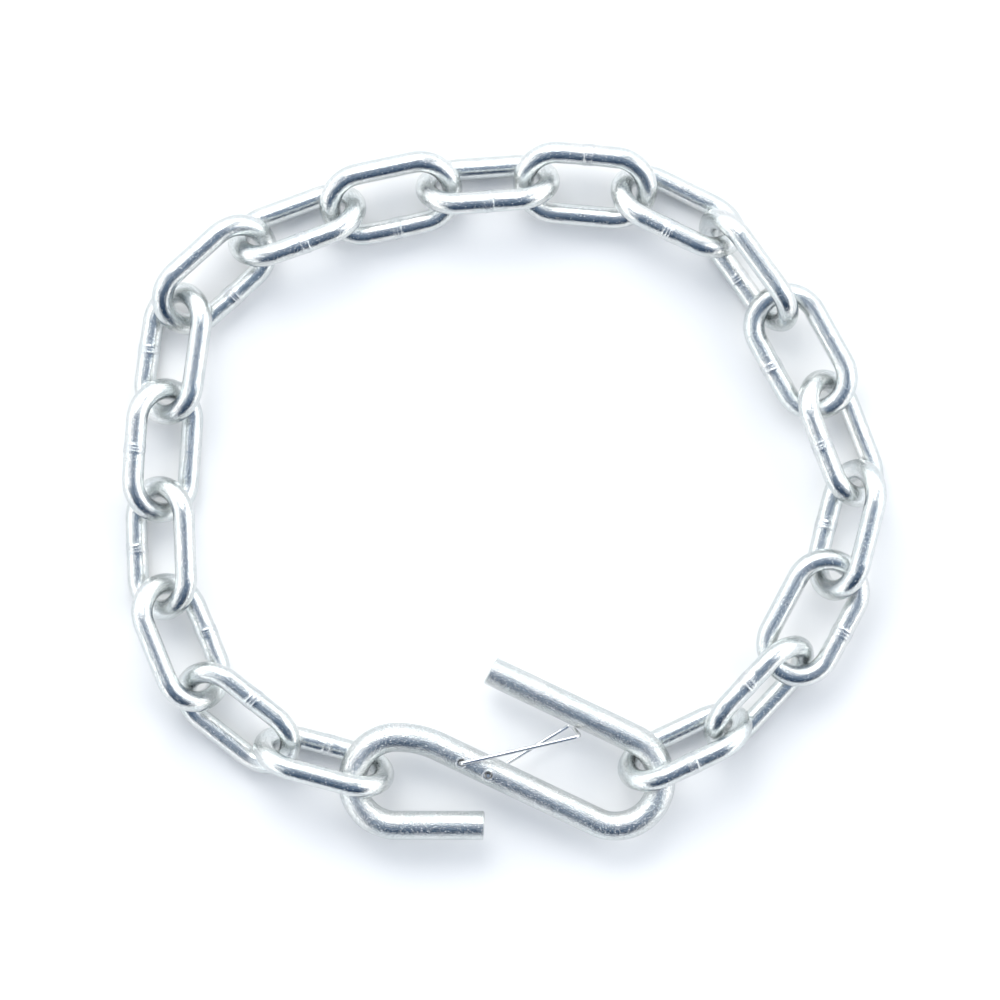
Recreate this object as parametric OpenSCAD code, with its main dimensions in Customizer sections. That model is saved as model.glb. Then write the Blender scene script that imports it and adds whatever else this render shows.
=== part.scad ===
// Safety chain with an S hook: a ring of welded steel links whose two ends are held
// in the two bends of a flat S-shaped hook. The hook's right bend is closed by a
// spring wire latch. Millimetres, +Z up, the whole lies on the plane z = 0.

/* [Chain] */
// Diameter of the chain's wire
wire_d = 7; // [6.8:0.1:7]
// Inside length of one link
inside_length = 32.8; // [32.7:0.1:33]
// Inside width of one link
inside_width = 14; // [14:0.1:14.4]
// How far the weld collar stands proud of the wire
weld_proud = 0.35; // [0.2:0.05:0.4]
// Length of the weld collar along the leg
weld_length = 3; // [2:0.5:4]

/* [Hook] */
// Diameter of the hook's rod
rod_d = 9.4; // [9:0.1:9.4]
// Height of the rod's centre line above the floor
rod_z = 12.8; // [12.7:0.1:12.9]
// Centre-line radius of the left bend
left_bend_r = 14.2; // [14:0.1:14.4]
// Centre-line radius of the right bend
right_bend_r = 14.7; // [14.5:0.1:14.9]
// Radius of the long curve from the left bend into the shank
sweep_r = 32; // [30:1:34]
// Slope of the shank and of the upper arm
shank_slope = 25.5; // [25:0.5:26]
// Straight length of the shank
shank_length = 56; // [55:1:57]
// Straight length of the lower arm, at the left bend
lower_arm = 28.5; // [26:0.5:30]
// Straight length of the upper arm, at the right bend
upper_arm = 52; // [50:1:54]

/* [Latch] */
// Diameter of the latch's spring wire
latch_d = 1.4; // [1.2:0.1:1.4]
// Radial clearance of the wire in its holes through the shank
latch_play = 0.08; // [0.05:0.01:0.1]
// Clearance of the latch legs over and under the shank
latch_gap = 0.2; // [0.2:0.05:0.4]

/* [Hidden] */
$fn = 64;
link_count = 19;
wire_r = wire_d / 2;
rod_r = rod_d / 2;
latch_r = latch_d / 2;
seam_proud = 0.04;                             // of the smooth swelling where the left bend meets the long curve
leg_offset = (inside_width + wire_d) / 2;      // link axis to a leg's centre line
crown_reach = (inside_length + wire_d) / 2;    // link centre to the centre line of its bow
leg_half = crown_reach - leg_offset;           // half of a leg's straight length

// The ring as it lies, link by link, clockwise from the hook's left bend.
// Direction in which each link points, seen from above; the last two follow from the rest
headings = [165, 142, 112, 92, 86, 82, 42, 20, 12, 4, -5, -26, -54, -61, -69, -104, -118];
// Roll of each link about its own length; positive lifts the leg on the ring's inner side
rolls = [-62, 40, -36, 40, -34, 40, -34, 52, -24, 56, -24, 48, -68, -8, 50, -52, 5, 61, -59];
// Height of each link's centre above the floor
heights = [12.8, 11, 12.2, 10.8, 11.2, 10.6, 12.4, 11.8, 11.8, 12.2, 12.2, 11.4, 13.3, 12.6,
           12, 14, 13.6, 13.1, 12.8];
// Slack at each of the twenty places where two pieces hang in each other
slacks = [1.6, 1.2, 1.2, 1.2, 1.2, 1.2, 2.2, 1.2, 1.2, 1.2, 1.2, 1.2, 2.2, 1.6, 1.8, 1.8,
          2.2, 2.6, 2.8, 1.6];
// Leg that carries the weld: 1 on the ring's inner side, -1 on its outer side
weld_sides = [1, 1, 1, -1, -1, -1, 1, 1, 1, 1, -1, 1, 1, 1, 1, 1, -1, 1, -1];
// Where the end links pull on the hook's two bends, as angles round each bend's centre
left_pull = 165;
right_pull = 25;

function along(angle) = [cos(angle), sin(angle)];
function flat_distance(a, b) = norm(b - a);
function bearing(a, b) = atan2(b[1] - a[1], b[0] - a[0]);

// Hook centre line, in plan
left_centre = [-34.9, -93.4];
sweep_centre = left_centre + [0, left_bend_r - sweep_r];
shank_dir = along(-shank_slope);
shank_normal = along(90 - shank_slope);
shank_start = sweep_centre + sweep_r * shank_normal;
shank_end = shank_start + shank_length * shank_dir;
right_centre = shank_end + right_bend_r * shank_normal;
lower_start = left_centre - [0, left_bend_r];

// Pivots of the ring: pivot 0 at the left bend, pivot 19 at the right bend
function is_hook_pivot(k) = k == 0 || k == link_count;
function contact_distance(k) = slacks[k] + wire_r + (is_hook_pivot(k) ? rod_r : wire_r);
function half_span(k) = crown_reach - contact_distance(k) / 2;
function span(i) = half_span(i) + half_span(i + 1);
first_pivot = left_centre + (left_bend_r - contact_distance(0) / 2) * along(left_pull);
last_pivot = right_centre
    + (right_bend_r - contact_distance(link_count) / 2) * along(right_pull);
function pivot(k) = k == 0 ? first_pivot : pivot(k - 1) + span(k - 1) * along(headings[k - 1]);

// The last two links close the ring: a triangle on their two spans
open_end = pivot(link_count - 2);
span_a = span(link_count - 2);
span_b = span(link_count - 1);
open_gap = flat_distance(open_end, last_pivot);
closing_cos = (span_a * span_a + open_gap * open_gap - span_b * span_b) / (2 * span_a * open_gap);
heading_a = bearing(open_end, last_pivot) + acos(min(1, closing_cos));
knee = open_end + span_a * along(heading_a);
all_headings = concat(headings, [heading_a, bearing(knee, last_pivot)]);
function link_pivot(i) = i == link_count - 1 ? knee : pivot(i);
function link_centre(i) = link_pivot(i) + half_span(i) * along(all_headings[i]);

// Latch wire: two holes through the shank, and the loop beside the upper arm
upper_hole = shank_start + 8.8 * shank_dir - 1.5 * shank_normal;
lower_hole = shank_start + 18.3 * shank_dir - 1.5 * shank_normal;
bead_d = latch_d + 0.06;                        // of the rounded corners of the wire
latch_rise = rod_r + latch_r + latch_gap;
latch_top = rod_z + latch_rise;
latch_bottom = rod_z - latch_rise;
loop_upper = upper_hole + 39 * along(13);
loop_lower = loop_upper + [-2.8, 3.4];
tail_length = 5.6;                             // of the lower leg, fixed at its hole
tail_gap = 1.4;                                // between the tail and the moving leg
lower_leg_dir = along(bearing(lower_hole, loop_lower));
pin_depth = 2.5;                               // of each wire end past the shank's centre

function link_name(i) = str("link_", i < 9 ? "0" : "", i + 1);

// A point of the plan lifted to height z
function at_height(p, z) = [p[0], p[1], z];

// Round bar between two points
module bar(from, to, d) {
    v = to - from;
    flat = norm([v[0], v[1]]);
    translate(from)
        rotate([0, atan2(flat, v[2]), atan2(v[1], v[0])])
            cylinder(d = d, h = norm(v));
}

// Bend of round bar in the plane z = 0, from start_angle through sweep
module bend(radius, d, start_angle, sweep) {
    rotate([0, 0, start_angle])
        rotate_extrude(angle = sweep)
            translate([radius, 0])
                circle(d = d);
}

// Collar of the weld, a low barrel round the middle of a leg
module weld_collar() {
    slope = weld_length / 3;
    rotate([0, 90, 0]) {
        translate([0, 0, -weld_length / 2])
            cylinder(d1 = wire_d, d2 = wire_d + 2 * weld_proud, h = slope);
        translate([0, 0, slope - weld_length / 2])
            cylinder(d = wire_d + 2 * weld_proud, h = slope);
        translate([0, 0, 2 * slope - weld_length / 2])
            cylinder(d1 = wire_d + 2 * weld_proud, d2 = wire_d, h = slope);
    }
}

// One link, lying flat round the origin, its length along X
module link_ring(weld_side) {
    for (side = [-1, 1])
        bar([-leg_half, side * leg_offset, 0], [leg_half, side * leg_offset, 0], wire_d);
    translate([leg_half, 0, 0])
        bend(leg_offset, wire_d, -90, 180);
    translate([-leg_half, 0, 0])
        bend(leg_offset, wire_d, 90, 180);
    translate([0, -weld_side * leg_offset, 0])
        weld_collar();
}

// Link number i where it lies in the ring
module chain_link(i) {
    color("silver")
        translate(at_height(link_centre(i), heights[i]))
            rotate([-rolls[i], 0, all_headings[i]])
                link_ring(weld_sides[i]);
}

// The hook's bent rod, before its holes are drilled. The shank, the long curve and the
// right bend are drawn along the shank's own direction, where they meet face to face.
module hook_rod() {
    bar(at_height(lower_start, rod_z), at_height(lower_start + [lower_arm, 0], rod_z), rod_d);
    translate(at_height(left_centre, rod_z))
        bend(left_bend_r, rod_d, 90, 180);
    translate(at_height(left_centre + [0, left_bend_r], rod_z))
        rotate([0, 90, 0])
            sphere(d = rod_d + 2 * seam_proud);
    translate(at_height(shank_start, rod_z))
        rotate([0, 0, -shank_slope]) {
            translate([0, -sweep_r, 0])
                bend(sweep_r, rod_d, 90, shank_slope);
            rotate([0, 90, 0])
                cylinder(d = rod_d, h = shank_length);
            translate([shank_length, right_bend_r, 0])
                bend(right_bend_r, rod_d, -90, 180);
            translate([shank_length - upper_arm, 2 * right_bend_r, 0])
                rotate([0, 90, 0])
                    cylinder(d = rod_d, h = upper_arm);
        }
}

module s_hook() {
    color("gainsboro")
        difference() {
            hook_rod();
            for (hole = [upper_hole, lower_hole])
                translate(at_height(hole, rod_z - rod_d))
                    cylinder(d = latch_d + 2 * latch_play, h = 2 * rod_d);
        }
}

// Moving part of the latch: upper end in its hole, upper leg, loop and lower leg
module latch_wire() {
    pin_end = at_height(upper_hole, rod_z - pin_depth);
    corner = at_height(upper_hole, latch_top);
    loop_a = at_height(loop_upper, latch_top);
    loop_b = at_height(loop_lower, latch_bottom);
    leg_end = at_height(lower_hole + (tail_length + tail_gap) * lower_leg_dir, latch_bottom);
    color("lightgray") {
        bar(pin_end, corner, latch_d);
        bar(corner, loop_a, latch_d);
        bar(loop_a, loop_b, latch_d);
        bar(loop_b, leg_end, latch_d);
        for (joint = [corner, loop_a, loop_b])
            translate(joint)
                sphere(d = bead_d);
    }
}

// Lower end of the latch wire, held in the second hole
module latch_tail() {
    corner = at_height(lower_hole, latch_bottom);
    color("lightgray") {
        bar(corner, at_height(lower_hole, rod_z + pin_depth), latch_d);
        bar(corner, at_height(lower_hole + tail_length * lower_leg_dir, latch_bottom), latch_d);
        translate(corner)
            sphere(d = bead_d);
    }
}

s_hook();
latch_wire();
latch_tail();
for (i = [0 : link_count - 1])
    chain_link(i);
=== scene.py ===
"""Safety chain with an S hook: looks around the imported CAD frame.

Lengths are in millimetres until a mesh is made.
"""

import math

import bmesh
import bpy
import numpy as np
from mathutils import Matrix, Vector
from mathutils.kdtree import KDTree


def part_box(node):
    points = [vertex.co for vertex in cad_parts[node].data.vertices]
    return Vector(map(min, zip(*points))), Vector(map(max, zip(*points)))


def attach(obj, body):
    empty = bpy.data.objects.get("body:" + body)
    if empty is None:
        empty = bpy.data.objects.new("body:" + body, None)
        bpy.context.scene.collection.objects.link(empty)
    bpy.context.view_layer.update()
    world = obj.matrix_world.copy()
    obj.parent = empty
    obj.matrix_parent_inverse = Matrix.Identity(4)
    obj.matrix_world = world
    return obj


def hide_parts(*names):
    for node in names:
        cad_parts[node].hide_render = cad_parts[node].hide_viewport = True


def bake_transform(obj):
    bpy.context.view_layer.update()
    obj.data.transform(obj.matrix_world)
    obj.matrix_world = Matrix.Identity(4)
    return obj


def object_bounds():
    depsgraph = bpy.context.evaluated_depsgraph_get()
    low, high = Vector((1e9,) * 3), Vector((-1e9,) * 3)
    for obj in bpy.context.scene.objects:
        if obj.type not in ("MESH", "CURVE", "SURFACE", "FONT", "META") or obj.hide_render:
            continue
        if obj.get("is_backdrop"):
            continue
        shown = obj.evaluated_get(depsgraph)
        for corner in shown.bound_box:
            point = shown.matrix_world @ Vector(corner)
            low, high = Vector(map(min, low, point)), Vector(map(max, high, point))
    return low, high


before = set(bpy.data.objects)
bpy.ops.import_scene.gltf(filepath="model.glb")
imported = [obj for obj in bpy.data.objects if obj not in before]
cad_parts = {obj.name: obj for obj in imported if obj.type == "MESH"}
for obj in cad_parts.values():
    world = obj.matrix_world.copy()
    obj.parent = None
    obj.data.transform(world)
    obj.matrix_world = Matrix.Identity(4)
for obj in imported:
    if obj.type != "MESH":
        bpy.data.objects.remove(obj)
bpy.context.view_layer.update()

MM = 0.001
LINKS = sorted(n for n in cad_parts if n.startswith("link_"))

# Chain wire and hook rod, as in the CAD model
WIRE_R = 3.5
LEG_OFFSET = 10.5
LEG_HALF = 9.4
WELD_PROUD = 0.35
ROD_R = 4.7
LEFT_R, SWEEP_R, RIGHT_R = 14.2, 32.0, 14.7
SLOPE = 25.5
LOWER_ARM, SHANK, UPPER_ARM = 28.5, 56.0, 52.0
LATCH_R = 0.7
LATCH_LEG, LATCH_HEADING = 39.0, 13.0  # the upper leg's length and direction
LATCH_LOOP = (-2.8, 3.4)  # from the end of the upper leg to the end of the lower

# Where the wire coordinates of each part start, so that no two share a pattern
LINK_START, HOOK_START, LATCH_START = 400.0, 9000.0, 12000.0

# Edges sharper than this many degrees stay sharp
CREASE, DRILLED_CREASE = 40, 38


# ---------------------------------------------------------------- mesh helpers
def unit(v):
    return v / np.linalg.norm(v, axis=-1, keepdims=True)


def new_object(name, verts_mm, faces, wire, extra=None):
    """A smooth mesh object in metres.

    Its wire coordinates (along, across, up) are a point attribute.
    """
    mesh = bpy.data.meshes.new(name)
    mesh.from_pydata((verts_mm * MM).tolist(), [], faces)
    mesh.update()
    if wire is not None:
        set_vector(mesh, "wire", wire)
    for key, values in (extra or {}).items():
        set_float(mesh, key, values)
    obj = bpy.data.objects.new(name, mesh)
    bpy.context.scene.collection.objects.link(obj)
    smooth(mesh, CREASE)
    return obj


def set_vector(mesh, key, values):
    a = mesh.attributes.get(key) or mesh.attributes.new(key, "FLOAT_VECTOR", "POINT")
    a.data.foreach_set("vector", np.asarray(values, np.float32).ravel())


def set_float(mesh, key, values):
    a = mesh.attributes.get(key) or mesh.attributes.new(key, "FLOAT", "POINT")
    a.data.foreach_set("value", np.asarray(values, np.float32).ravel())


def smooth(mesh, angle):
    mesh.polygons.foreach_set("use_smooth", np.ones(len(mesh.polygons), bool))
    mesh.set_sharp_from_angle(angle=math.radians(angle))
    mesh.update()


def turn_outwards(obj):
    bm = bmesh.new()
    bm.from_mesh(obj.data)
    bmesh.ops.recalc_face_normals(bm, faces=bm.faces)
    bm.to_mesh(obj.data)
    bm.free()
    obj.data.update()


def skin(path, side, up, radius, closed):
    """Vertices and faces of a tube.

    radius is rings by sides, and the angle runs from side towards up.
    """
    rings, sides = radius.shape
    t = np.linspace(0, 2 * np.pi, sides, endpoint=False)
    verts = (
        path[:, None]
        + side[:, None] * (radius * np.cos(t))[..., None]
        + up[:, None] * (radius * np.sin(t))[..., None]
    )
    verts = verts.reshape(-1, 3)
    faces = []
    for i in range(rings if closed else rings - 1):
        a, b = i * sides, ((i + 1) % rings) * sides
        faces += [
            (a + j, b + j, b + (j + 1) % sides, a + (j + 1) % sides)
            for j in range(sides)
        ]
    if not closed:
        last = (rings - 1) * sides
        faces.append(tuple(range(sides)))
        faces.append(tuple(last + j for j in reversed(range(sides))))
    return verts, faces


def ripple(rng, angle, terms):
    """A smooth random curve round the wire, between about -1 and 1."""
    out = np.zeros_like(angle)
    for k in terms:
        out += rng.normal(0, 1) * np.cos(k * angle + rng.uniform(0, 2 * np.pi)) / k
    return out / max(1e-6, np.abs(out).max())


def bell(x, width):
    return np.exp(-((x / width) ** 2))


# ---------------------------------------------------------------- materials
class Nodes:
    """Short names for building a node tree."""

    def __init__(self, tree):
        self.tree = tree
        tree.nodes.clear()

    def add(self, kind, **settings):
        node = self.tree.nodes.new("ShaderNode" + kind)
        for key, value in settings.items():
            setattr(node, key, value)
        return node

    def put(self, socket, value):
        if isinstance(value, bpy.types.NodeSocket):
            self.tree.links.new(value, socket)
        else:
            socket.default_value = value

    def scaled(self, vector, scale):
        node = self.add("Mapping", vector_type="POINT")
        self.put(node.inputs["Vector"], vector)
        node.inputs["Scale"].default_value = scale
        return node.outputs["Vector"]

    def noise(self, vector, scale, detail=3.0, roughness=0.5, distortion=0.0):
        node = self.add("TexNoise")
        self.put(node.inputs["Vector"], vector)
        node.inputs["Scale"].default_value = scale
        node.inputs["Detail"].default_value = detail
        node.inputs["Roughness"].default_value = roughness
        node.inputs["Distortion"].default_value = distortion
        return node.outputs["Fac"]

    def cells(self, vector, scale):
        node = self.add("TexVoronoi", feature="F1")
        self.put(node.inputs["Vector"], vector)
        node.inputs["Scale"].default_value = scale
        return node.outputs["Distance"]

    def span(self, value, low, high, to_low=0.0, to_high=1.0):
        node = self.add("MapRange", interpolation_type="SMOOTHSTEP")
        self.put(node.inputs["Value"], value)
        node.inputs["From Min"].default_value = low
        node.inputs["From Max"].default_value = high
        node.inputs["To Min"].default_value = to_low
        node.inputs["To Max"].default_value = to_high
        return node.outputs["Result"]

    def math(self, operation, a, b=0.0):
        node = self.add("Math", operation=operation)
        self.put(node.inputs[0], a)
        self.put(node.inputs[1], b)
        return node.outputs["Value"]

    def blend(self, factor, a, b):
        node = self.add("Mix", data_type="RGBA")
        self.put(node.inputs[0], factor)
        self.put(node.inputs[6], a)
        self.put(node.inputs[7], b)
        return node.outputs[2]


DULL = 0.62  # share of the zinc's own colour in its grain and drawn lines
WELD_GREY = (0.5, 0.52, 0.55, 1)
WORN = (0.9, 0.91, 0.93, 1)
# painted shade: near black standing in for the shade inside the drilled holes
BORE_PAINTED_SHADE = (0.04, 0.042, 0.04, 1)
SMOOTHEST, ROUGHEST = 0.06, 0.8
MICRON = 1e-6


def zinc(name, cool, warm, rough, streak, grain, grain_scale, bump_um):
    """Bright zinc plate on drawn steel.

    It has lengthwise drawing lines, fine grain, pale blooms and small pits.
    """
    mat = bpy.data.materials.new(name)
    mat.use_nodes = True
    n = Nodes(mat.node_tree)
    wire = n.add("Attribute", attribute_name="wire").outputs["Vector"]
    wear = n.add("Attribute", attribute_name="wear").outputs["Fac"]
    weld = n.add("Attribute", attribute_name="weld").outputs["Fac"]
    bore_shade = n.add("Attribute", attribute_name="bore_shade").outputs["Fac"]

    lines = n.noise(n.scaled(wire, (0.06, 1.0, 1.0)), 2.6, 4, 0.6)
    fine_lines = n.noise(n.scaled(wire, (0.05, 1.0, 1.0)), 7.0, 2, 0.6)
    specks = n.noise(wire, grain_scale, 3, 0.65)
    bloom = n.noise(wire, 0.11, 3, 0.55, 0.4)
    patches = n.noise(wire, 0.55, 4, 0.6)
    pits = n.cells(wire, 0.85)
    glints = n.cells(n.scaled(wire, (0.7, 1.0, 1.0)), 1.7)

    # colour: cool zinc with faint warm blooms, greyer in the grain and in the weld
    tint = n.blend(n.span(bloom, 0.4, 0.64), cool, warm)
    grey = n.span(specks, 0.36, 0.62, 0.0, grain)
    dull = tuple(DULL * c for c in cool[:3]) + (1,)
    tint = n.blend(grey, tint, dull)
    tint = n.blend(n.math("MULTIPLY", n.span(lines, 0.48, 0.66), 0.75 * streak), tint, dull)
    heat = n.math("MULTIPLY", weld, n.span(patches, 0.4, 0.62, 0.1, 0.55))
    tint = n.blend(heat, tint, WELD_GREY)
    tint = n.blend(n.math("MULTIPLY", wear, 0.5), tint, WORN)
    # painted shade: the inside of each drilled hole is painted near black for the shade in the hole
    tint = n.blend(bore_shade, tint, BORE_PAINTED_SHADE)

    # roughness: satin grain, drawn lines, polished where links rub
    r = n.span(specks, 0.34, 0.66, rough * 0.65, rough * 1.5)
    r = n.math("ADD", r, n.span(lines, 0.42, 0.66, -0.04 * streak, 0.09 * streak))
    r = n.math("ADD", r, n.span(patches, 0.35, 0.7, -0.03, 0.05))
    r = n.math("ADD", r, n.math("MULTIPLY", weld, 0.12))
    r = n.math("SUBTRACT", r, n.math("MULTIPLY", wear, 0.07))
    r = n.math("MINIMUM", n.math("MAXIMUM", r, SMOOTHEST), ROUGHEST)

    # relief: drawing lines, grain, small pits and a rough weld
    h = n.math("MULTIPLY", fine_lines, 0.5 * streak)
    h = n.math("ADD", h, n.math("MULTIPLY", lines, 0.8 * streak))
    h = n.math("ADD", h, n.math("MULTIPLY", specks, 1.7 * grain + 0.25))
    h = n.math("ADD", h, n.math("MULTIPLY", patches, 0.9))
    h = n.math("ADD", h, n.span(pits, 0.02, 0.12, -0.7, 0.0))
    h = n.math("ADD", h, n.span(glints, 0.06, 0.26, -1.7 * grain, 0.0))
    h = n.math("ADD", h, n.math("MULTIPLY", weld, n.math("MULTIPLY", patches, 3.0)))
    bump = n.add("Bump")
    bump.inputs["Strength"].default_value = 0.9
    bump.inputs["Distance"].default_value = bump_um * MICRON
    n.put(bump.inputs["Height"], h)

    shader = n.add("BsdfPrincipled")
    shader.inputs["Metallic"].default_value = 1.0
    n.put(shader.inputs["Base Color"], tint)
    n.put(shader.inputs["Roughness"], r)
    n.put(shader.inputs["Normal"], bump.outputs["Normal"])
    out = n.add("OutputMaterial")
    n.put(out.inputs["Surface"], shader.outputs["BSDF"])
    return mat


FLOOR_COOL, FLOOR_WARM = (0.94, 0.945, 0.94, 1), (0.96, 0.96, 0.955, 1)


def floor_material():
    mat = bpy.data.materials.new("pale_floor")
    mat.use_nodes = True
    n = Nodes(mat.node_tree)
    place = n.add("TexCoord").outputs["Object"]
    shade = n.noise(place, 9.0, 3)
    shader = n.add("BsdfPrincipled")
    tint = n.blend(n.span(shade, 0.3, 0.7), FLOOR_COOL, FLOOR_WARM)
    n.put(shader.inputs["Base Color"], tint)
    shader.inputs["Roughness"].default_value = 0.85
    shader.inputs["Specular IOR Level"].default_value = 0.1
    out = n.add("OutputMaterial")
    n.put(out.inputs["Surface"], shader.outputs["BSDF"])
    return mat


def paint(obj, mat):
    obj.data.materials.clear()
    obj.data.materials.append(mat)


# ---------------------------------------------------------------- chain links
def link_frame(node):
    """Centre and axes of a link in millimetres, from its CAD mesh.

    The axes are its length, its width towards the weld and its normal.
    """
    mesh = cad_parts[node].data
    co = np.array([v.co for v in mesh.vertices], float) / MM
    mesh.calc_loop_triangles()
    tri = co[np.array([t.vertices[:] for t in mesh.loop_triangles])]
    area = np.linalg.norm(np.cross(tri[:, 1] - tri[:, 0], tri[:, 2] - tri[:, 0]), axis=1)
    mid = (tri.mean(1) * area[:, None]).sum(0) / area.sum()
    # the directions in which its surface spreads most, less and least
    tri = tri - mid
    c = tri.mean(1)
    spread = np.einsum("t,tka,tkb->ab", area, tri, tri) + 9 * np.einsum(
        "t,ta,tb->ab", area, c, c
    )
    axes = np.linalg.eigh(spread)[1]
    length, normal = axes[:, 2], axes[:, 0]
    normal = normal if normal[2] > 0 else -normal
    width = np.cross(normal, length)
    local = (co - mid) @ np.array([length, width, normal]).T
    bows = np.abs(local[:, 0]) > LEG_HALF + 2
    shift = np.array(
        [
            (local[:, 0].min() + local[:, 0].max()) / 2,
            (local[bows, 1].min() + local[bows, 1].max()) / 2,
            (local[:, 2].min() + local[:, 2].max()) / 2,
        ]
    )
    centre = mid + shift @ np.array([length, width, normal])
    y = local[:, 1] - shift[1]
    if y.max() < -y.min():  # turn the link so that the weld is on its +width leg
        length, width = -length, -width
    return centre, length, width, normal


WELD_ZONE = 4.8  # each side of the weld, with finer rings
FAR_RINGS = 150  # over the rest of the link


def link_path():
    """Rings round a link in its own plane, from the middle of the welded leg.

    Gives their distances, places and outward directions, and the whole way round.
    """
    perimeter = 4 * LEG_HALF + 2 * math.pi * LEG_OFFSET
    near = np.concatenate(
        [np.arange(0, WELD_ZONE, 0.16), np.arange(WELD_ZONE, LEG_HALF, 0.55)]
    )
    far = np.linspace(LEG_HALF, perimeter - LEG_HALF, FAR_RINGS)
    s = np.concatenate([near, far, (perimeter - near[1:])[::-1]])
    half_bow = math.pi * LEG_OFFSET
    place, out = np.zeros((len(s), 2)), np.zeros((len(s), 2))
    for i, d in enumerate(s):
        if d < LEG_HALF:
            place[i], out[i] = (-d, LEG_OFFSET), (0, 1)
            continue
        d -= LEG_HALF
        if d < half_bow:
            a = math.pi / 2 + d / LEG_OFFSET
            out[i] = (math.cos(a), math.sin(a))
            place[i] = (-LEG_HALF + LEG_OFFSET * out[i][0], LEG_OFFSET * out[i][1])
            continue
        d -= half_bow
        if d < 2 * LEG_HALF:
            place[i], out[i] = (-LEG_HALF + d, -LEG_OFFSET), (0, -1)
            continue
        d -= 2 * LEG_HALF
        if d < half_bow:
            a = -math.pi / 2 + d / LEG_OFFSET
            out[i] = (math.cos(a), math.sin(a))
            place[i] = (LEG_HALF + LEG_OFFSET * out[i][0], LEG_OFFSET * out[i][1])
            continue
        d -= half_bow
        place[i], out[i] = (LEG_HALF - d, LEG_OFFSET), (0, 1)
    return s, place, out, perimeter


LINK_SIDES = 44
LINK_SEED = 700
CLAMP_AT, CLAMP_WIDE = 3.6, 1.2  # clamp marks each side of the weld
WELD_INSET = 0.03  # keeps the flash inside the CAD model's weld
S, PLACE, OUT, PERIMETER = link_path()


def chain_link(node, number, material):
    """One link, bent from wire and butt-welded.

    It has two low rings of flash, clamp flats beside them, and rubbed bows.
    """
    rng = np.random.default_rng(LINK_SEED + number)
    centre, length, width, normal = link_frame(node)
    t = np.linspace(0, 2 * np.pi, LINK_SIDES, endpoint=False)
    from_weld = np.where(S > PERIMETER / 2, S - PERIMETER, S)
    along = from_weld[:, None]
    on_leg = np.clip((11.0 - np.abs(from_weld)) / 8.0, 0, 1)[:, None]

    # flash of the weld: two uneven rings, and a thin line where the wire's ends meet
    gap = rng.uniform(0.85, 1.25)
    wobble = 0.26 * ripple(rng, t, (1, 2, 3))
    left = 0.2 * (0.6 + 0.4 * ripple(rng, t, (1, 2, 4, 5)))
    right = 0.17 * (0.55 + 0.45 * ripple(rng, t, (1, 3, 4, 6)))
    flash = left * bell(along - gap - wobble, 0.3) + right * bell(along + gap - wobble, 0.34)
    flash += 0.07 * np.exp(-((along / 1.5) ** 4))
    flash += 0.1 * bell(along - wobble, 0.16) * (0.5 + 0.5 * ripple(rng, t, (2, 3, 7)))
    # clamp marks of the welding jaws: shallow flats on two opposite sides
    facing = np.cos(t - rng.uniform(-0.4, 0.4)) ** 8
    jaws = bell(along - CLAMP_AT, CLAMP_WIDE) + bell(along + CLAMP_AT, CLAMP_WIDE)
    clamp = -0.09 * facing * jaws
    # one side of the joint stands a little off the other
    step = 0.06 * np.cos(t - rng.uniform(0, 6.28)) * np.tanh(along / 0.7) * bell(along, 3.0)

    # bows: a little flatter across the bend, rubbed inside where the next link hangs
    bow = np.clip((np.abs(PLACE[:, 0]) - LEG_HALF) / LEG_OFFSET, 0, 1)[:, None]
    oval = -0.05 * bow * (1 + np.cos(2 * t)) / 2
    rubbed = np.cos((t - np.pi) / 2) ** 2
    rub_zone = np.clip((bow - 0.72) / 0.28, 0, 1) ** 1.5
    rub = -0.05 * rub_zone * np.clip(-np.cos(t), 0, 1) ** 6
    waviness = -0.03 * (1 - on_leg) * (0.5 + 0.5 * ripple(rng, t, (2, 3)))
    radius = WIRE_R + flash + clamp + step + oval + rub + waviness
    radius = np.minimum(radius, WIRE_R + WELD_PROUD - WELD_INSET)

    # the welded leg stands out a trace
    lean = 0.12 * rng.uniform(0.3, 1.0) * bell(from_weld, 6.0)
    place = PLACE + OUT * lean[:, None]
    path = centre + place[:, :1] * length + place[:, 1:] * width
    side = OUT[:, :1] * length + OUT[:, 1:] * width
    up = np.repeat(normal[None], len(S), 0)
    verts, faces = skin(path, side, up, radius, True)

    wire = np.empty((len(S), LINK_SIDES, 3))
    wire[..., 0] = np.abs(from_weld)[:, None] + LINK_START * (number + 1)
    wire[..., 1] = radius * np.cos(t)
    wire[..., 2] = radius * np.sin(t)
    weld = np.clip(np.exp(-((along / 1.9) ** 4)) + 0 * t, 0, 1)
    wear = rub_zone * np.clip(-np.cos(t), 0, 1) ** 2 * (0.4 + 0.6 * rubbed)
    obj = new_object(
        f"chain_{node}",
        verts,
        faces,
        wire.reshape(-1, 3),
        {"weld": weld.ravel(), "wear": wear.ravel()},
    )
    turn_outwards(obj)
    paint(obj, material)
    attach(obj, node)
    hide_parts(node)


# ---------------------------------------------------------------- hook
RING_STEP, SHANK_STEP = 0.5, 0.16  # between rings of the rod
SHANK_MOVE = 3  # the shank's place among the moves along the rod


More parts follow.
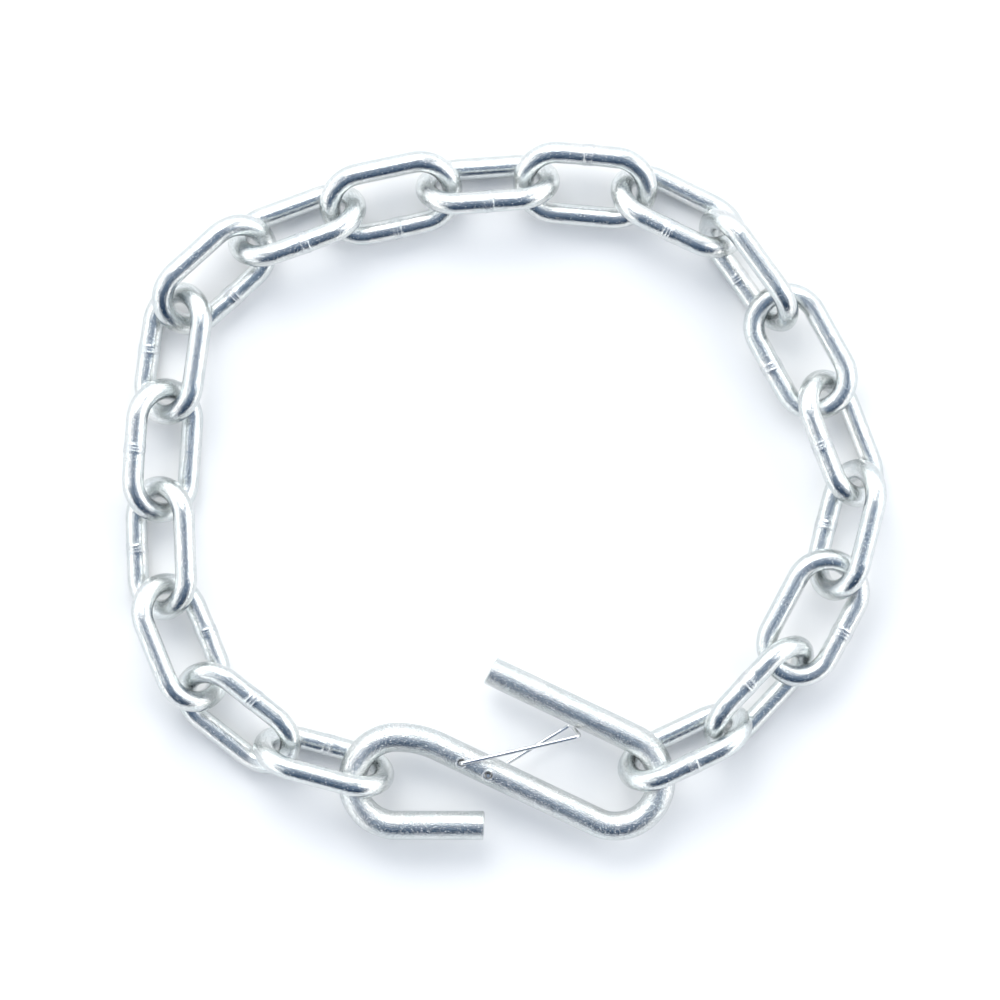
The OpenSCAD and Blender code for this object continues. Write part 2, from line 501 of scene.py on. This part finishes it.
def hook_path():
    """Centre line of the hook's rod from the lower arm's end, with finer rings at the two holes."""
    low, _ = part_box("s_hook")
    x = low.x / MM + ROD_R + LEFT_R + LOWER_ARM
    y = low.y / MM + ROD_R
    z = low.z / MM + ROD_R
    place, heading = np.array([x, y]), math.radians(180)
    points, rights, lengths = [place.copy()], [heading], [0.0]
    moves = [
        (LOWER_ARM, 0.0),
        (LEFT_R, -180.0),
        (SWEEP_R, -SLOPE),
        (SHANK, 0.0),
        (RIGHT_R, 180.0),
        (UPPER_ARM, 0.0),
    ]
    marks = []
    for number, (size, turn) in enumerate(moves):
        marks.append(lengths[-1])
        whole = size if turn == 0 else size * math.radians(abs(turn))
        spacing = SHANK_STEP if number == SHANK_MOVE else RING_STEP
        steps = max(4, round(whole / spacing))
        for _ in range(steps):
            step = whole / steps
            bend = 0 if turn == 0 else math.radians(turn) / steps
            chord = step if bend == 0 else 2 * size * math.sin(abs(bend) / 2)
            direction = heading + bend / 2
            place = place + chord * np.array([math.cos(direction), math.sin(direction)])
            heading += bend
            points.append(place.copy())
            rights.append(heading)
            lengths.append(lengths[-1] + step)
    rights = np.array(rights)
    path = np.column_stack([np.array(points), np.full(len(points), z)])
    side = np.column_stack([np.sin(rights), -np.cos(rights), np.zeros(len(points))])
    return path, side, np.array(lengths), marks


HOOK_SIDES, HOOK_SEED = 80, 41
HOLE_STARTS = (8.8, 18.3)  # along the shank
HOLE_ASIDE = 1.5  # towards the open side of the left bend
HOLE_R = 0.86
PRESSED = 0.07  # how much flatter the rod is in its bends
TIP_LENGTH, TIP_DEPTH = 0.75, 0.55  # of the rolled-in edge at each cut end
RIM_AT, RIM_WIDE, RIM_HIGH = 1.62, 0.26, 0.1  # of the raised rim round a hole


def hook_points():
    path, side, lengths, marks = hook_path()
    start = marks[SHANK_MOVE]
    holes = []
    for far in HOLE_STARTS:
        i = int(np.argmin(np.abs(lengths - start - far)))
        holes.append(path[i] + HOLE_ASIDE * side[i])
    return path, side, lengths, marks, holes


def s_hook(material):
    path, side, lengths, marks, holes = hook_points()
    rng = np.random.default_rng(HOOK_SEED)
    t = np.linspace(0, 2 * np.pi, HOOK_SIDES, endpoint=False)
    up = np.repeat(np.array([[0.0, 0.0, 1.0]]), len(path), 0)
    total = lengths[-1]

    # the bends are pressed a little flatter, and the rod is a trace uneven in places
    bends = np.zeros(len(path))
    for start, end in ((marks[1], marks[2]), (marks[4], marks[5])):
        middle, half = (start + end) / 2, (end - start) / 2
        bends += np.clip(1.15 - np.abs(lengths - middle) / half, 0, 1)
    bends = np.clip(bends, 0, 1)[:, None]
    radius = ROD_R - PRESSED * bends * (1 + np.cos(2 * t)) / 2
    radius = radius - 0.04 * (0.5 + 0.5 * ripple(rng, t, (2, 3, 5))) * np.clip(
        np.sin(lengths / 9.0)[:, None], 0, 1
    )
    # sheared ends: the edge rolls in
    for tip in (lengths, total - lengths):
        rolled = np.clip(1 - tip / TIP_LENGTH, 0, 1)[:, None]
        radius = radius - TIP_DEPTH * rolled**2.2
    # raised rim of plating round each hole, on top and below
    for hole in holes:
        ring = path[:, None] + side[:, None] * (radius * np.cos(t))[..., None]
        away = np.hypot(ring[..., 0] - hole[0], ring[..., 1] - hole[1])
        radius = radius + RIM_HIGH * bell(away - RIM_AT, RIM_WIDE)

    verts, faces = skin(path, side, up, radius, False)
    # the cut faces are sheared a little out of square
    verts = verts.reshape(len(path), HOOK_SIDES, 3)
    for ring, away, sign in ((0, 1, 1.0), (-1, -2, -1.0)):
        forward = unit(path[ring] - path[away])
        lift = 0.22 * np.sin(t + sign) + 0.05 * ripple(rng, t, (3, 5, 8))
        verts[ring] += forward * (lift[:, None] - 0.28)
    verts = verts.reshape(-1, 3)
    obj = new_object("hook_rod", verts, faces, None)
    turn_outwards(obj)

    drills = []
    for i, hole in enumerate(holes):
        drills.append(drill(f"drill_{i}", hole, material))
    for cutter in drills:
        cut = obj.modifiers.new("hole", "BOOLEAN")
        cut.operation = "DIFFERENCE"
        cut.solver = "EXACT"
        cut.object = cutter
    depsgraph = bpy.context.evaluated_depsgraph_get()
    mesh = bpy.data.meshes.new_from_object(obj.evaluated_get(depsgraph))
    obj.modifiers.clear()
    obj.data = mesh
    for cutter in drills:
        bpy.data.objects.remove(cutter)
    smooth(mesh, DRILLED_CREASE)

    # wire coordinates by the nearest ring of the centre line
    tree = KDTree(len(path))
    for i, p in enumerate(path):
        tree.insert(Vector(p), i)
    tree.balance()
    co = np.array([v.co for v in mesh.vertices], float) / MM
    nearest = np.array([tree.find(Vector((p[0], p[1], path[0][2])))[1] for p in co])
    offset = co - path[nearest]
    forward = np.cross(np.array([0, 0, 1.0]), side[nearest])
    wire = np.column_stack(
        [
            lengths[nearest] - (offset * forward).sum(1) + HOOK_START,
            (offset * side[nearest]).sum(1),
            offset[:, 2],
        ]
    )
    set_vector(mesh, "wire", wire)
    cut_face = np.zeros(len(co))
    for ring in (0, -1):
        cut_face = np.maximum(
            cut_face, np.linalg.norm(co - path[ring], axis=1) < ROD_R - 0.1
        )
    # the inside of each hole is marked for painted shade, near black in the material
    around_hole, bore_shade = np.zeros(len(co)), np.zeros(len(co))
    for hole in holes:
        away = np.hypot(co[:, 0] - hole[0], co[:, 1] - hole[1])
        around_hole = np.maximum(around_hole, bell(away - 1.5, 0.4))
        bore_shade = np.maximum(bore_shade, away < HOLE_R + 0.05)
    set_float(mesh, "weld", cut_face)
    set_float(mesh, "wear", 0.8 * around_hole)
    set_float(mesh, "bore_shade", bore_shade)
    paint(obj, material)
    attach(obj, "s_hook")
    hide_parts("s_hook")


def drill(name, hole, material):
    """A drill for one hole, with a small countersink at both faces of the rod."""
    top, flare, deep, count = ROD_R + 2.0, 1.35, 0.42, 40
    surface = math.sqrt(ROD_R**2 - HOLE_ASIDE**2)
    rings = [
        (-top, flare + 1.2),
        (-surface + 0.1, flare),
        (-surface + deep + 0.1, HOLE_R),
        (surface - deep - 0.1, HOLE_R),
        (surface - 0.1, flare),
        (top, flare + 1.2),
    ]
    turn = np.linspace(0, 2 * np.pi, count, endpoint=False)
    verts = np.array(
        [
            (hole[0] + r * math.cos(q), hole[1] + r * math.sin(q), hole[2] + z)
            for z, r in rings
            for q in turn
        ]
    )
    faces = []
    for i in range(len(rings) - 1):
        lower, upper = i * count, (i + 1) * count
        faces += [
            (lower + j, lower + (j + 1) % count, upper + (j + 1) % count, upper + j)
            for j in range(count)
        ]
    faces.append(tuple(reversed(range(count))))
    faces.append(tuple((len(rings) - 1) * count + j for j in range(count)))
    obj = new_object(name, verts, faces, None)
    turn_outwards(obj)
    paint(obj, material)
    return obj


# ---------------------------------------------------------------- latch
def rounded(corners, radii, gap):
    """A line through the corners, each inner corner rounded to its radius."""
    line = [np.array(corners[0], float)]
    for i in range(1, len(corners) - 1):
        p = np.array(corners[i], float)
        a = unit(np.array(corners[i - 1], float) - p)
        b = unit(np.array(corners[i + 1], float) - p)
        half = math.acos(max(-1, min(1, float(a @ b)))) / 2
        reach = radii[i - 1] / math.tan(half)
        centre = p + unit(a + b) * radii[i - 1] / math.sin(half)
        u = unit(p + a * reach - centre)
        w = unit(p + b * reach - centre)
        turn = math.acos(max(-1, min(1, float(u @ w))))
        count = max(5, round(radii[i - 1] * turn / gap))
        for k in range(count + 1):
            q = k / count
            line.append(
                centre
                + radii[i - 1]
                * (u * math.sin((1 - q) * turn) + w * math.sin(q * turn))
                / math.sin(turn)
            )
    line.append(np.array(corners[-1], float))
    out = [line[0]]
    for a, b in zip(line, line[1:]):
        count = max(1, round(np.linalg.norm(b - a) / gap))
        out += [a + (b - a) * k / count for k in range(1, count + 1)]
    return np.array(out)


LATCH_ROOT = 14.0  # reach from the foot of the lower leg that is kept in the fixed root stretch
LATCH_SIDES, LATCH_STEP = 20, 0.32
LATCH_INSET = 0.03  # keeps the wire inside the CAD model's box
PIN_DOWN, PIN_UP = 2.4, 2.2  # how far the two ends go past the middle of the rod
CORNER_RADII = (0.95, 1.3, 1.3, 0.95)
BLUNTED = ((0, 0.82), (-1, 0.82), (1, 0.97), (-2, 0.97))  # end rings and their shares
LOWER_END = 20.0  # length of wire, from its lower end, that holds the cut


def latch(material):
    """The spring wire, in two stretches.

    Its upper end, loop and lower leg turn. The root of the lower leg, from the turning part
    to the end that is fixed in the rod, is a separate stretch that stays in place.
    """
    low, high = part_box("latch_wire")
    *_, holes = hook_points()
    upper, lower = holes
    top = high.z / MM - LATCH_R - LATCH_INSET
    bottom = low.z / MM + LATCH_R + LATCH_INSET
    heading = math.radians(LATCH_HEADING)
    loop_a = upper[:2] + LATCH_LEG * np.array([math.cos(heading), math.sin(heading)])
    loop_b = loop_a + np.array(LATCH_LOOP)
    rod_z = upper[2]
    foot = np.array([*lower[:2], bottom])
    corners = [
        (*upper[:2], rod_z - PIN_DOWN),
        (*upper[:2], top),
        (*loop_a, top),
        (*loop_b, bottom),
        foot,
        (*lower[:2], rod_z + PIN_UP),
    ]
    path = rounded(corners, CORNER_RADII, LATCH_STEP)
    forward = unit(np.gradient(path, axis=0))
    side = np.zeros_like(path)
    side[0] = unit(np.cross(forward[0], np.array([1.0, 0.3, 0.0])))
    for i in range(1, len(path)):
        side[i] = unit(side[i - 1] - forward[i] * (side[i - 1] @ forward[i]))
    up = np.cross(forward, side)
    radius = np.full((len(path), LATCH_SIDES), LATCH_R)
    for ring, share in BLUNTED:
        radius[ring] *= share
    gaps = np.linalg.norm(np.diff(path, axis=0), axis=1)
    travelled = np.concatenate([[0], np.cumsum(gaps)])
    from_foot = np.linalg.norm(path - foot, axis=1)
    after_loop = travelled > travelled[-1] - LOWER_END
    cut = int(np.argmax(after_loop & (from_foot < LATCH_ROOT)))

    tube = (path, side, up, radius, travelled)
    turning = spring_tube("latch_spring_wire", tube, slice(0, cut + 1), material)
    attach(turning, "latch")
    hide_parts("latch_wire")
    root = spring_tube("latch_spring_root", tube, slice(cut, None), material)
    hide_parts("latch_tail")
    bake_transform(root)


def spring_tube(name, tube, part, material):
    """A stretch of the latch wire, in the whole wire's coordinates."""
    path, side, up, radius, travelled = (whole[part] for whole in tube)
    t = np.linspace(0, 2 * np.pi, LATCH_SIDES, endpoint=False)
    verts, faces = skin(path, side, up, radius, False)
    wire = np.empty((len(radius), LATCH_SIDES, 3))
    wire[..., 0] = travelled[:, None] + LATCH_START
    wire[..., 1] = radius * np.cos(t)
    wire[..., 2] = radius * np.sin(t)
    obj = new_object(name, verts, faces, wire.reshape(-1, 3))
    turn_outwards(obj)
    paint(obj, material)
    return obj


# ---------------------------------------------------------------- studio
FLOOR_REACH = 4.0
ROOM_LIGHT = 2.05
CEILING_FROM = 0.05  # lowest height of a direction that still counts as ceiling
OPENING_WIDE, OPENING_LONG, OPENING_BACK = 2.0, 4.2, 3.5
ROOM_WHITE = (0.98, 0.99, 1.0, 1)
OPENING_DEEP, OPENING_PALE = (0.012, 0.024, 0.05, 1), (0.12, 0.16, 0.225, 1)
SKIRTING = (0.3, 0.35, 0.42, 1)
LAMPS = (  # name, place, size and power
    ("key", (-0.25, 0.85, 1.15), 0.7, 5.0),
    ("fill", (0.95, 0.1, 0.9), 0.8, 2.0),
)
SENSOR, CAMERA_HEIGHT, WIDTH_SEEN = 36.0, 2.2, 0.3226
CAMERA_ASIDE = (-0.0013, -0.0028, 0)


def lay_floor(height):
    r = FLOOR_REACH
    corners = [(-r, -r, height), (r, -r, height), (r, r, height), (-r, r, height)]
    mesh = bpy.data.meshes.new("floor")
    mesh.from_pydata(corners, [], [(0, 1, 2, 3)])
    floor = bpy.data.objects.new("floor", mesh)
    bpy.context.scene.collection.objects.link(floor)
    paint(floor, floor_material())
    floor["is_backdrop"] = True


def white_room():
    """A white room, darker where one stands to look, with a dim skirting."""
    world = bpy.data.worlds.new("studio")
    bpy.context.scene.world = world
    world.use_nodes = True
    n = Nodes(world.node_tree)
    direction = n.add("TexCoord").outputs["Generated"]
    parts = n.add("SeparateXYZ")
    n.put(parts.inputs[0], direction)
    x, y, z = parts.outputs
    ceiling = n.math("MAXIMUM", z, CEILING_FROM)
    across = n.math("DIVIDE", n.math("DIVIDE", x, ceiling), OPENING_WIDE)
    lean = n.math("DIVIDE", y, ceiling)
    ahead = n.math("DIVIDE", n.math("ADD", lean, OPENING_BACK), OPENING_LONG)
    across, ahead = n.math("MULTIPLY", across, across), n.math("MULTIPLY", ahead, ahead)
    away = n.math("SQRT", n.math("ADD", across, ahead))
    ragged = n.noise(direction, 3.2, 2)
    away = n.math("ADD", away, n.span(ragged, 0.3, 0.7, -0.16, 0.16))
    dark = n.span(away, 0.86, 1.06, 1.0, 0.0)
    nearer = n.span(lean, -2.2, 0.5, -0.16, 0.16)
    shades = n.math("ADD", n.noise(direction, 7.0, 2), nearer)
    deep = n.blend(n.span(shades, 0.35, 0.65), OPENING_DEEP, OPENING_PALE)
    rim = n.span(z, 0.035, 0.1, 1.0, 0.0)
    sky = n.blend(dark, ROOM_WHITE, deep)
    sky = n.blend(rim, sky, SKIRTING)
    back = n.add("Background")
    n.put(back.inputs["Color"], sky)
    back.inputs["Strength"].default_value = ROOM_LIGHT
    out = n.add("OutputWorld")
    n.put(out.inputs["Surface"], back.outputs["Background"])


def hang_lamps(middle):
    for name, place, size, power in LAMPS:
        light = bpy.data.lights.new(name, "AREA")
        light.shape = "SQUARE"
        light.size = size
        light.energy = power
        lamp = bpy.data.objects.new(name, light)
        lamp.location = place
        lamp.rotation_mode = "QUATERNION"
        lamp.rotation_quaternion = (middle - Vector(place)).to_track_quat("-Z", "Y")
        bpy.context.scene.collection.objects.link(lamp)


def look_down(middle):
    """The camera: straight down through a long lens."""
    camera = bpy.data.cameras.new("camera")
    camera.sensor_width = SENSOR
    camera.lens = SENSOR * (CAMERA_HEIGHT - middle.z) / WIDTH_SEEN
    camera.clip_end = 20
    eye = bpy.data.objects.new("camera", camera)
    aim = middle + Vector(CAMERA_ASIDE)
    eye.location = (aim.x, aim.y, CAMERA_HEIGHT)
    bpy.context.scene.collection.objects.link(eye)
    bpy.context.scene.camera = eye
    bpy.context.scene.view_settings.view_transform = "Standard"


def studio():
    low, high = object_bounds()
    middle = (low + high) / 2
    lay_floor(low.z)
    white_room()
    hang_lamps(middle)
    look_down(middle)


chain_zinc = zinc(
    "chain_zinc",
    cool=(0.76, 0.80, 0.80, 1),
    warm=(0.82, 0.825, 0.81, 1),
    rough=0.11,
    streak=0.8,
    grain=0.65,
    grain_scale=2.6,
    bump_um=50,
)
hook_zinc = zinc(
    "hook_zinc",
    cool=(0.76, 0.80, 0.80, 1),
    warm=(0.82, 0.825, 0.815, 1),
    rough=0.14,
    streak=1.0,
    grain=0.8,
    grain_scale=2.4,
    bump_um=80,
)
spring_zinc = zinc(
    "spring_zinc",
    cool=(0.82, 0.83, 0.85, 1),
    warm=(0.84, 0.84, 0.83, 1),
    rough=0.2,
    streak=0.6,
    grain=0.2,
    grain_scale=5.0,
    bump_um=8,
)

for number, node in enumerate(LINKS):
    chain_link(node, number, chain_zinc)
s_hook(hook_zinc)
latch(spring_zinc)
studio()
